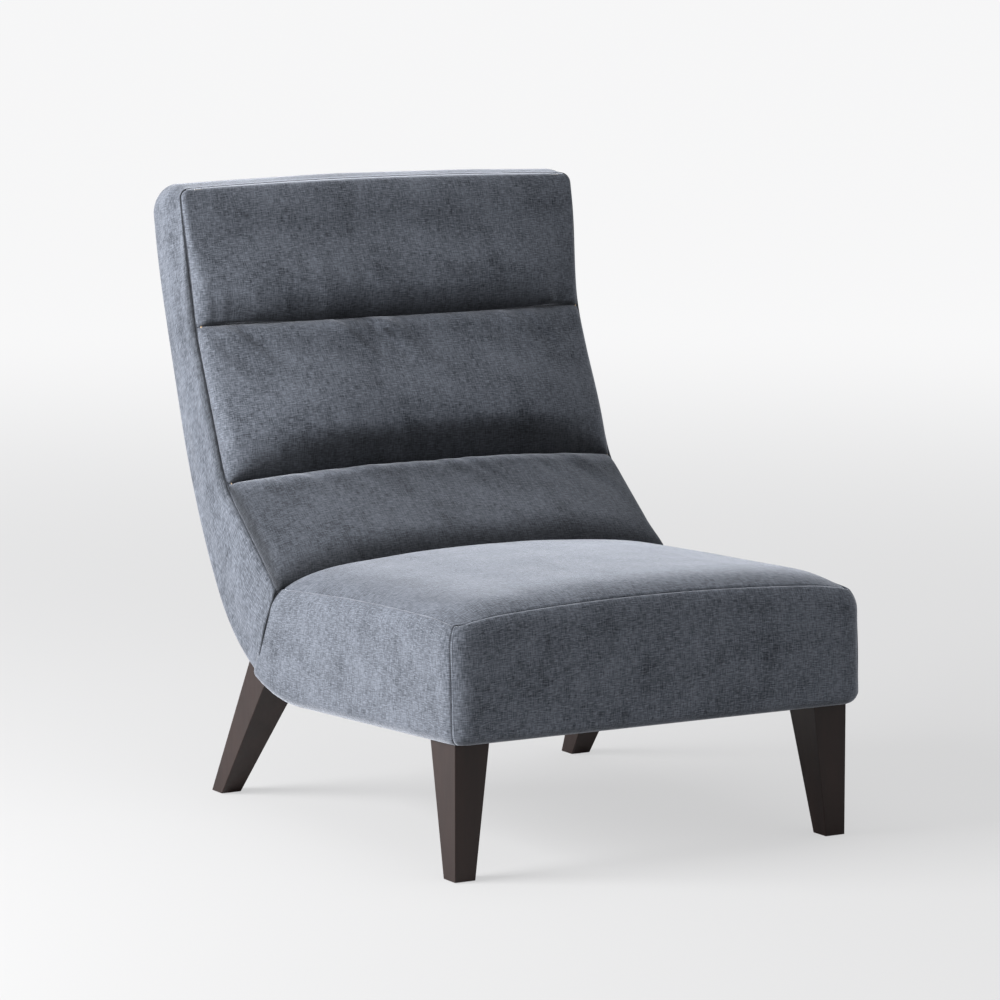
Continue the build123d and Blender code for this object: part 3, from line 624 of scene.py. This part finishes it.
seat_front = cloth_panel("seat_front_panel", 160, 56, seat_front_place, velvet, turned=True)
seat_sides = {}
for label, side in (("left", -1), ("right", 1)):
    seat_sides[label] = cloth_panel(
        f"seat_side_panel_{label}", 130, 56, seat_side_place(side), velvet, turned=side > 0
    )
    back_with_cloth(seat_sides[label], wadding)
    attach(seat_sides[label], "root")
    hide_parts(f"seat_side_cover_{label}")
back_with_cloth(seat_front, wadding)
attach(seat_front, "root")
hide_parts("seat_front_cover", "seat_skirt_padding")

seat_top_velvet = velvet_material("blue-grey velvet, seat top", shade_down, 0.40, 1.25, 0.48)
seat_top = cloth_panel("seat_top_panel", 140, 110, seat_top_place, seat_top_velvet)
hanging.append((seat_top, hang_cloth(seat_top, 140, 110, 0.4, (1.006, 1.006, 1.0), 1.0)))
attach(seat_top, "root")
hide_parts("seat_top_cover", "seat_foam")

# Back border: one band of cloth that runs up one side of the back, over the top and down the
# other, over a layer of wadding on the side frames. It is sewn to the channels along its front.
crease_lengths = (0.214, 0.246, 0.209)
crease_leans = tuple(math.radians(angle) for angle in (50.5, 23.2, 11.4))
back_top = 0.914
side_seam_angle = math.radians(22.0)
arc_plan = ((0.290, 55.0), (0.900, 72.5), (None, 0.200), (0.900, 79.5))
crown_top = 0.007
front_corner = 0.014
rear_corner = 0.048
border_front_round = 0.028
border_foot_round = 0.012
border_top_round = 0.005
border_side_share = 0.36
border_corner_share = 0.05
border_spread = 1.5
border_wave = 0.0014
foot_blend = 0.035
top_blend_start = 0.26
top_blend = 0.09
border_swell = 0.005
border_rear_round = 0.032
top_rear_round = 0.045
rear_wrap = math.radians(80.0)
border_puff = 0.003

seat_seam = on_seat(0, seat_long, seat_thick)
creases = [Vector((seat_seam[1], seat_seam[2]))]
for length, lean in zip(crease_lengths, crease_leans):
    creases.append(creases[-1] + length * Vector((math.sin(lean), math.cos(lean))))


def dense_line(points, count):
    """Even samples along a line of points."""
    spans = [(b - a).length for a, b in zip(points, points[1:])]
    total = sum(spans)
    line = []
    for k in range(count):
        run = total * k / (count - 1)
        for (a, b), span in zip(zip(points, points[1:]), spans):
            if run <= span + 1e-9:
                line.append(a.lerp(b, run / span))
                break
            run -= span
    return line


def softened(line, width):
    """The same line with its corners eased over a number of samples."""
    eased = []
    for k in range(len(line)):
        reach = min(width, k, len(line) - 1 - k)
        window = line[k - reach:k + reach + 1]
        eased.append(sum(window, Vector((0, 0))) / len(window))
    return eased


front_seam = softened(dense_line(creases, 200), 9)


def rear_outline():
    """The side outline of the heel and outside back, from the seat seam up to the top corner."""
    centre = on_seat(0, heel_start, heel_radius)
    heading = side_seam_angle
    point = Vector((centre[1], centre[2])) + heel_radius * Vector((math.sin(heading), -math.cos(heading)))
    line = [point.copy()]
    for radius, end in arc_plan:
        if radius is None:
            point = point + end * Vector((math.cos(heading), math.sin(heading)))
            line.append(point.copy())
            continue
        steps = 24
        turn = math.radians(end) - heading
        middle = point + radius * Vector((-math.sin(heading), math.cos(heading)))
        for step in range(1, steps + 1):
            angle = heading + turn * step / steps
            line.append(middle + radius * Vector((math.sin(angle), -math.cos(angle))))
        point = line[-1]
        heading = math.radians(end)
    rise = (back_top - point.y) / math.sin(heading)
    line.append(point + rise * Vector((math.cos(heading), math.sin(heading))))
    return line


rear_line = dense_line(rear_outline(), 240)


def along(line, share):
    """A point at a share of a sampled line."""
    place = min(max(share, 0.0), 1.0) * (len(line) - 1)
    low = min(int(place), len(line) - 2)
    return line[low].lerp(line[low + 1], place - low)


def border_edge(run, line, corner):
    """A point of the band's front or rear edge at a place along it, from the left foot to the right one."""
    if run > 0.5:
        point = border_edge(1 - run, line, corner)
        return Vector((-point.x, point.y, point.z))
    side_share, corner_share = border_side_share, border_corner_share
    rise = 1 - corner / (line[-1] - line[0]).length
    if run < side_share:
        share, x = rise * run / side_share, -half
    elif run < side_share + corner_share:
        angle = (run - side_share) / corner_share * math.pi / 2
        share = rise + (1 - rise) * math.sin(angle)
        x = -half + corner * (1 - math.cos(angle))
    else:
        share = 1.0
        x = (-half + corner) * (0.5 - run) / (0.5 - side_share - corner_share)
    point = along(line, share)
    return Vector((x, point.x, point.y + top_lift(x, share)))


def top_lift(x, share):
    """How far the top of the back bows up between its corners."""
    return crown_top * max(0.0, 1 - (x / half) ** 2) * ease((share - 0.6) / 0.4)


def border_out(run):
    """Outward direction of the band at a place along it."""
    if run > 0.5:
        out = border_out(1 - run)
        return Vector((-out.x, out.y, out.z))
    angle = min(1.0, max(0.0, (run - border_side_share) / border_corner_share)) * math.pi / 2
    return Vector((-math.cos(angle), 0.0, math.sin(angle)))


def border_lead(reach):
    """Radius of the band's roll towards its front seam, at a place along one half of it."""
    radius = border_foot_round + (border_front_round - border_foot_round) * ease(reach / foot_blend)
    return radius + (border_top_round - border_front_round) * ease((reach - top_blend_start) / top_blend)


def border_place(a, b):
    """A point of the border band, a along it and b from the front seam to the rear seam."""
    front = border_edge(a, front_seam, front_corner)
    rear = border_edge(a, rear_line, rear_corner)
    out = border_out(a)
    reach = min(a, 1 - a)
    lead = border_lead(reach)
    swell = border_swell * abs(out.x) * ease((reach / border_side_share - 0.35) / 0.5)
    rounding = border_rear_round + (top_rear_round - border_rear_round) * out.z + swell
    depth = (rear - front).length
    back = (rear - front).normalized()
    flat = depth - rounding - lead
    run = b**border_spread * (lead * quarter + flat + rounding * rear_wrap)
    if run < lead * quarter:
        angle = quarter - run / lead
        inward = lead * (1 - math.cos(angle)) + groove(run)
        return tuple(front + back * (lead * (1 - math.sin(angle)) + groove(run)) - out * inward)
    run -= lead * quarter
    if run < flat:
        puff = border_puff * math.sin(math.pi * run / flat) ** 2 + swell * ease(run / flat)
        puff += border_wave * ripple(a * 9, 4.4, 0.35) * math.sin(math.pi * run / flat) ** 2
        return tuple(front + back * (lead + run) + out * puff)
    angle = (run - flat) / rounding
    across = lead + flat + rounding * math.sin(angle)
    return tuple(front + back * across + out * (swell - rounding * (1 - math.cos(angle))))


# Painted shade on the border: its colour darkens where it faces forward.
border_velvet = velvet_material("blue-grey velvet, shaded forward", shade_forward, 0.03, 0.85, 0.54)
border = cloth_panel("back_border_band", 320, 60, border_place, border_velvet)
back_with_cloth(border, wadding)
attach(border, "root")
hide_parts("back_border_cover", "back_side_pad_left", "back_side_pad_right")

# Outside back: one panel pulled up the rear of the frame from under the heel and closed along
# the border by hand, over a felt lining.
rear_hem = 0.440
rear_overlap = 0.005
rear_panel_half = half - border_rear_round * (1 - math.cos(rear_wrap)) + rear_overlap
rear_bulge = 0.004
rear_pinch = 0.002
rear_pinch_reach = 0.014
rear_pinch_share = 0.02
rear_inset = 0.0008
rear_wave = 0.001
rear_backing = 0.002


def rear_panel_line():
    """The panel's own line from its hem under the seat, round the heel and up the back."""
    line = []
    for step in range(30):
        u = rear_hem + (heel_start - rear_hem) * step / 30
        place = on_seat(0, u, 0)
        line.append(Vector((place[1], place[2])))
    centre = on_seat(0, heel_start, heel_radius)
    for step in range(20):
        angle = -seat_pitch + (side_seam_angle + seat_pitch) * step / 20
        spoke = Vector((math.sin(angle), -math.cos(angle)))
        line.append(Vector((centre[1], centre[2])) + heel_radius * spoke)
    line += [p for p in rear_outline() if p.y < back_top - top_rear_round]
    top = rear_line[-1]
    slope = (rear_line[-1] - rear_line[-2]).normalized()
    line.append(top - slope * (top_rear_round * (1 - math.cos(rear_wrap)) - rear_overlap))
    return dense_line(line, 240)


rear_panel = rear_panel_line()


def rear_panel_place(a, b):
    """A point of the outside back, a from right to left and b from hem to top."""
    x = (1 - 2 * a) * rear_panel_half
    here = along(rear_panel, b)
    ahead = along(rear_panel, min(1.0, b + 0.004)) - along(rear_panel, max(0.0, b - 0.004))
    out = Vector((ahead.y, -ahead.x)).normalized()
    share = 1 - (x / rear_panel_half) ** 2
    pinch = max(0.0, 1 - (rear_panel_half - abs(x)) / rear_pinch_reach) ** 2
    top_pinch = max(0.0, 1 - (1 - b) / rear_pinch_share) ** 2
    puff = rear_bulge * share * ease(b / 0.3) - rear_pinch * max(pinch, top_pinch) - rear_inset
    puff += rear_wave * ripple(x, 9.1, 0.16) * share
    return (x, here.x + out.x * puff, here.y + out.y * puff)


outside_back = cloth_panel("outside_back_panel", 110, 170, rear_panel_place, velvet)
back_with_cloth(outside_back, rear_backing)
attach(outside_back, "root")
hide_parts("outside_back_cover")

# Channels: three foam rolls across the inside back under one cloth, pulled in and stitched to the
# rails at each crease, so that the cloth gathers into short folds above and below it.
channel_names = ("lower", "middle", "upper")
channel_end_depth = 0.008
channel_end_round = 0.011
channel_crown_power = 3.5
channel_depths = (0.050, 0.072, 0.050)
lower_rolls = (0.060, 0.118, 0.080)
upper_rolls = (0.036, 0.036, 0.060)
upper_falls = (0.85, 0.55, 0.45)
overhang = 0.016
under_border = 0.0022
under_reach = 0.0012
under_crease = 0.0006
# Ranges of painted shade for each channel, darker where it turns down towards its crease.
painted_shade_spans = ((-0.86, -0.25), (-0.06, 0.26), (0.10, 0.66))
channel_wave = 0.0016
overhang_start = 0.012
gather_depth = 0.014
gather_start = 0.022
lower_gather = (0.055, 0.12)
upper_gather = (0.070, -0.85)
upper_gather_shares = (0.22, 1.0, 0.0)
lower_gather_shares = (0.0, 0.4, 0.5)


def channel_section(length, full_depth, lower_roll, upper_roll, upper_fall):
    """Depth against height up one channel, in even steps along the cloth."""
    outline = []
    for step in range(400):
        t = length * (1 - math.cos(math.pi * step / 399)) / 2
        fall = 1 - (1 - upper_fall) * ease((t - lower_roll / 2) / (length - upper_roll - lower_roll / 2))
        low = math.sqrt(max(0.0, 1 - max(0.0, 1 - t / lower_roll) ** 2))
        high = math.sqrt(max(0.0, 1 - max(0.0, 1 - (length - t) / upper_roll) ** 2))
        outline.append(Vector((t, full_depth * fall * low * high)))
    return dense_line(outline, 300)


def gathers(x, near, seed, reach, slant):
    """Short folds that run from a crease into a channel and die out."""
    fade = ease(near / gather_start) * math.exp(-((near / reach) ** 2))
    across = x + slant * near
    bunch = 0.2 + ease(0.5 + 1.6 * ripple(across, seed + 40, 0.12))
    return fade * bunch * (ripple(across, seed, 0.036) + 0.4 * ripple(across, seed + 20, 0.017))


def channel_place(index):
    """Points of one channel, a across the chair and b from its lower crease to its upper one."""
    top_channel = index == len(channel_names) - 1
    top_inset = edge_drop(0, border_top_round)
    length = crease_lengths[index] - (top_inset if top_channel else 0.0)
    below = sum(crease_lengths[:index])
    full_depth, lower_roll = channel_depths[index], lower_rolls[index]
    lean = crease_leans[index]
    up = Vector((math.sin(lean), math.cos(lean)))
    out = Vector((-math.cos(lean), math.sin(lean)))
    foot = creases[index]
    section = channel_section(length, full_depth, lower_roll, upper_rolls[index], upper_falls[index])
    seam_corner = front_corner - top_inset

    def place(a, b):
        climb, swell = along(section, b)
        lead = border_lead(border_side_share * (below + climb) / sum(crease_lengths))
        reach = half - edge_drop(0, lead)
        above = climb - length + seam_corner
        if top_channel and above > 0:
            reach -= seam_corner - math.sqrt(max(0.0, seam_corner**2 - above**2))
        x = (2 * a - 1) * reach
        fullness = 1 - abs(x / reach) ** channel_crown_power
        share = channel_end_depth / full_depth
        from_side = reach - abs(x)
        tuck = math.sqrt(max(0.0, 1 - max(0.0, 1 - from_side / channel_end_round) ** 2))
        swell *= share * tuck + (1 - share) * fullness
        drop = overhang * fullness * ease(climb / overhang_start) * max(0.0, 1 - climb / lower_roll)
        folds = lower_gather_shares[index] * gathers(x, climb, 1.7 + index, *lower_gather)
        folds += upper_gather_shares[index] * gathers(x, length - climb, 6.3 + index, *upper_gather)
        soft = min(1.0, 4 * fullness)
        swell += gather_depth * folds * soft
        swell += channel_wave * ripple(x, 11 + index, 0.10) * soft * math.sin(math.pi * b)
        edge = edge_drop(from_side, lead) + groove(from_side)
        x -= math.copysign(groove(from_side), x)
        if top_channel:
            edge = max(edge, edge_drop(length - climb, border_top_round) + groove(length - climb))
        if a in (0, 1) or b in (0, 1):
            edge += under_border if 0 < b < 1 else under_crease
            x += math.copysign(under_reach, x) if a in (0, 1) else 0.0
            climb += {0: -under_reach, 1: under_reach}.get(b, 0.0)
        point = foot + up * (climb - drop) + out * (swell - edge)
        lift = top_lift(x, 1.0) * ease(b) if top_channel else 0.0
        return (x, point.x, point.y + lift)

    return place


for index, label in enumerate(channel_names):
    # Each channel gets its own copy of the cloth with its own painted shade.
    channel_velvet = velvet_material(f"blue-grey velvet, {label} channel", shade_down, *painted_shade_spans[index])
    channel = cloth_panel(f"{label}_channel_panel", 240, 72, channel_place(index), channel_velvet)
    hanging.append((channel, hang_cloth(channel, 240, 72, 0.6, (1.012, 1.02, 1.02), 1.5)))
    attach(channel, "root")
    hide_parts(f"{label}_channel_cover", f"{label}_channel_foam")

# The hung panels settle together over their fillings and are then closed with their wadding.
for step in range(1, settle_frames + 1):
    bpy.context.scene.frame_set(step)
for piece, corners in hanging:
    keep_settled(piece, corners)
    back_with_cloth(piece, wadding)
bpy.context.scene.frame_set(1)

# Seams: plain, with the seam allowance pressed to one side, so that a thin ridge stands beside each.


def seam_ridge(name, line, radius):
    """A thin ridge of cloth along a line of points, dented where each stitch pulls it down."""
    points = [Vector(point) for point in line]
    run = [0.0]
    for a, b in zip(points, points[1:]):
        run.append(run[-1] + (b - a).length)

    def place(a, b):
        k = round(a * (len(points) - 1))
        ahead = (points[min(k + 1, len(points) - 1)] - points[max(k - 1, 0)]).normalized()
        side = ahead.cross(Vector((0.31, 0.52, 0.79))).normalized()
        turn = 2 * math.pi * b
        size = radius * (0.86 + 0.14 * math.cos(2 * math.pi * run[k] / 0.0048))
        return tuple(points[k] + size * (side * math.cos(turn) + ahead.cross(side) * math.sin(turn)))

    ridge = cloth_panel(name, len(points), 9, place, velvet)
    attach(ridge, "root")


def shares(count, low=0.0, high=1.0):
    """Even shares from low to high."""
    return [low + (high - low) * k / (count - 1) for k in range(count)]


beside_corner = 0.0045
behind_seam = 0.016
rear_seam_share = 0.97
seam_start = 0.004
seam_end = 0.996
front_ridge = 0.0004
rear_ridge = 0.0006
for label, side in (("left", -1), ("right", 1)):
    edge = beside_corner if side < 0 else 1 - beside_corner
    upright = [seat_front_place(edge, b) for b in shares(150, 0.02, 0.8)]
    seam_ridge(f"front_corner_seam_{label}", upright, front_ridge)
front_line = [border_place(a, behind_seam) for a in shares(1000, seam_start, seam_end)]
seam_ridge("border_front_seam", front_line, front_ridge)

# Seam allowance: the cloth turned in behind the border's front seam, a narrow strip of the same velvet.
# It lies just under both panels and backs the seam.
allowance_depth = 0.0020
allowance_inner = 0.25
allowance_outer = 0.18
allowance_cloth = 0.0006


def allowance_place(a, b):
    """A point of the turned-in cloth behind the border's front seam, a along it and b across it."""
    run = seam_start + (seam_end - seam_start) * a
    seam = Vector(border_place(run, 0))
    out = border_out(run)
    front = border_edge(run, front_seam, front_corner)
    back = (border_edge(run, rear_line, rear_corner) - front).normalized()
    lead = border_lead(min(run, 1 - run))
    inward = (-out - back).normalized()
    shift = lead * (allowance_inner * b - allowance_outer * (1 - b))
    return tuple(seam + inward * shift + (back - out).normalized() * allowance_depth)


allowance = cloth_panel("border_seam_allowance", 480, 6, allowance_place, velvet)
back_with_cloth(allowance, allowance_cloth)
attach(allowance, "root")
rear_seam_line = [border_place(a, rear_seam_share) for a in shares(1000, seam_start, seam_end)]
seam_ridge("border_rear_seam", rear_seam_line, rear_ridge)

# Dust cover: black spun cloth with its edges folded in, stapled over the open underside.
# It hangs a few millimetres between its rows of staples.
dust_front = 0.024
dust_half = half - dust_front
dust_long = heel_start - dust_front
dust_sag = 0.006
dust_fold = 0.014
dust_thickness = 0.0006
dust_pucker = 0.0012
dust_pucker_reach = 0.06
staple_step = 0.045
staple_size = (0.010, 0.0009, 0.0008)
dust_dark = (0.010, 0.010, 0.011)
dust_light = (0.028, 0.028, 0.030)
dust_cloth = spotted_material("black spun cloth", dust_dark, dust_light, 600.0, 0.9, 0.0)


def dust_place(a, b):
    """A point of the dust cover, a across the chair and b from front to back."""
    x = (2 * a - 1) * dust_half
    u = dust_front + b * dust_long
    inside = min(dust_half - abs(x), u - dust_front, dust_front + dust_long - u)
    sag = dust_sag * (1 - (x / dust_half) ** 2) * math.sin(math.pi * b) * ease(inside / dust_pucker_reach)
    pucker = dust_pucker * ripple(x + u, 8.2, 0.022) * ease(inside / 0.010)
    pucker *= ease(1 - inside / dust_pucker_reach)
    folded = dust_thickness * (1 - ease((inside - dust_fold) / 0.002))
    return on_seat(x, u, -dust_thickness - folded - sag - abs(pucker))


dust_cover = cloth_panel("dust_cover_sheet", 130, 100, dust_place, dust_cloth, turned=True)
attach(dust_cover, "root")
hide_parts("dust_cover")

# Staples: flat zinc wire, driven through the folded edge of the dust cover in one row all round.
staple_corners = []
staple_faces = []
staple_inset = dust_fold / 2
run_x = round(2 * (dust_half - staple_inset) / staple_step)
run_u = round((dust_long - 2 * staple_inset) / staple_step)
staple_places = []
for k in range(run_x):
    x = (2 * (k + 0.5) / run_x - 1) * (dust_half - staple_inset)
    staple_places += [(x, dust_front + staple_inset, 0), (x, dust_front + dust_long - staple_inset, 0)]
for k in range(run_u):
    u = dust_front + staple_inset + (dust_long - 2 * staple_inset) * (k + 0.5) / run_u
    staple_places += [(dust_half - staple_inset, u, 1), (staple_inset - dust_half, u, 1)]
for x, u, turned in staple_places:
    wide, deep = staple_size[turned], staple_size[1 - turned]
    first = len(staple_corners)
    for v in (-2 * dust_thickness, -2 * dust_thickness - staple_size[2]):
        for dx, du in ((-1, -1), (1, -1), (1, 1), (-1, 1)):
            staple_corners.append(on_seat(x + dx * wide / 2, u + du * deep / 2, v))
    for ring in ((0, 1, 2, 3), (7, 6, 5, 4), (0, 4, 5, 1), (1, 5, 6, 2), (2, 6, 7, 3), (3, 7, 4, 0)):
        staple_faces.append([first + corner for corner in ring])
staple_mesh = bpy.data.meshes.new("dust_cover_staples")
staple_mesh.from_pydata(staple_corners, [], staple_faces)
staple_mesh.materials.append(zinc)
staples = bpy.data.objects.new("dust_cover_staples", staple_mesh)
bpy.context.collection.objects.link(staples)
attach(staples, "root")

# Studio: a plain pale floor without a visible horizon, under soft light from the left and above.
floor_reach = 45.0
floor = cloth_panel(
    "studio_floor", 2, 2, lambda a, b: (floor_reach * (2 * a - 1), floor_reach * (2 * b - 1), 0.0), None
)
floor_paint = bpy.data.materials.new("pale studio floor")
floor_paint.use_nodes = True
tree = floor_paint.node_tree
paint = tree.nodes["Principled BSDF"]
paint.inputs["Roughness"].default_value = 0.95
paint.inputs["Specular IOR Level"].default_value = 0.0
paint.inputs["Emission Strength"].default_value = 1.0
ray = tree.nodes.new("ShaderNodeLightPath")
place = tree.nodes.new("ShaderNodeTexCoord")
reach = add_node(tree, "ShaderNodeVectorMath", operation="LENGTH")
tree.links.new(place.outputs["Object"], reach.inputs[0])
fade = tree.nodes.new("ShaderNodeMapRange")
fade.interpolation_type = "SMOOTHSTEP"
fade.inputs["From Min"].default_value = 0.8
fade.inputs["From Max"].default_value = 7.0
tree.links.new(reach.outputs["Value"], fade.inputs["Value"])
glow = add_node(tree, "ShaderNodeMix", data_type="RGBA")
glow.inputs[6].default_value = (0.555, 0.555, 0.56, 1)
glow.inputs[7].default_value = (0.86, 0.86, 0.865, 1)
tree.links.new(fade.outputs["Result"], glow.inputs[0])
for socket, hidden, seen in (
    ("Base Color", (0.58, 0.58, 0.58, 1), (0.16, 0.16, 0.16, 1)),
    ("Emission Color", (0.0, 0.0, 0.0, 1), None),
):
    choice = add_node(tree, "ShaderNodeMix", data_type="RGBA")
    choice.inputs[6].default_value = hidden
    if seen:
        choice.inputs[7].default_value = seen
    else:
        tree.links.new(glow.outputs[2], choice.inputs[7])
    tree.links.new(ray.outputs["Is Camera Ray"], choice.inputs[0])
    tree.links.new(choice.outputs[2], paint.inputs[socket])
floor.data.materials.clear()
floor.data.materials.append(floor_paint)

world = bpy.data.worlds.new("studio")
bpy.context.scene.world = world
world.use_nodes = True
sky = world.node_tree.nodes["Background"]
sky.inputs["Color"].default_value = (1, 1, 1, 1)
sky.inputs["Strength"].default_value = 0.40


def soft_lamp(name, place, aim, width, power):
    """A large square lamp aimed at a point of the chair."""
    light = bpy.data.lights.new(name, "AREA")
    light.size = width
    light.energy = power
    lamp = bpy.data.objects.new(name, light)
    bpy.context.collection.objects.link(lamp)
    lamp.location = place
    lamp.rotation_euler = (Vector(aim) - Vector(place)).to_track_quat("-Z", "Y").to_euler()
    return lamp


soft_lamp("window_left", (-3.4, 0.5, 1.65), (0, 0, 0.45), 2.2, 380.0)
soft_lamp("ceiling_softbox", (-0.2, -0.3, 3.6), (0, 0, 0.4), 2.8, 40.0)
soft_lamp("front_fill", (2.4, -3.4, 1.6), (0, 0, 0.4), 2.6, 18.0)

# Camera: a long lens at the photograph's angle, about 1.5 m above the floor and looking slightly down.
camera_azimuth = math.radians(-30.06)
camera_elevation = math.radians(8.06)
camera_reach = 7.069
camera_aim = Vector((-0.047, -0.0841, 0.475))
lens = bpy.data.cameras.new("camera")
lens.sensor_width = 36.0
lens.lens = 173.4
lens.clip_end = 60.0
camera = bpy.data.objects.new("camera", lens)
bpy.context.collection.objects.link(camera)
toward = Vector((
    math.sin(camera_azimuth) * math.cos(camera_elevation),
    -math.cos(camera_azimuth) * math.cos(camera_elevation),
    math.sin(camera_elevation),
))
camera.location = camera_aim + camera_reach * toward
camera.rotation_euler = (-toward).to_track_quat("-Z", "Y").to_euler()
bpy.context.scene.camera = camera
bpy.context.scene.view_settings.view_transform = "Standard"
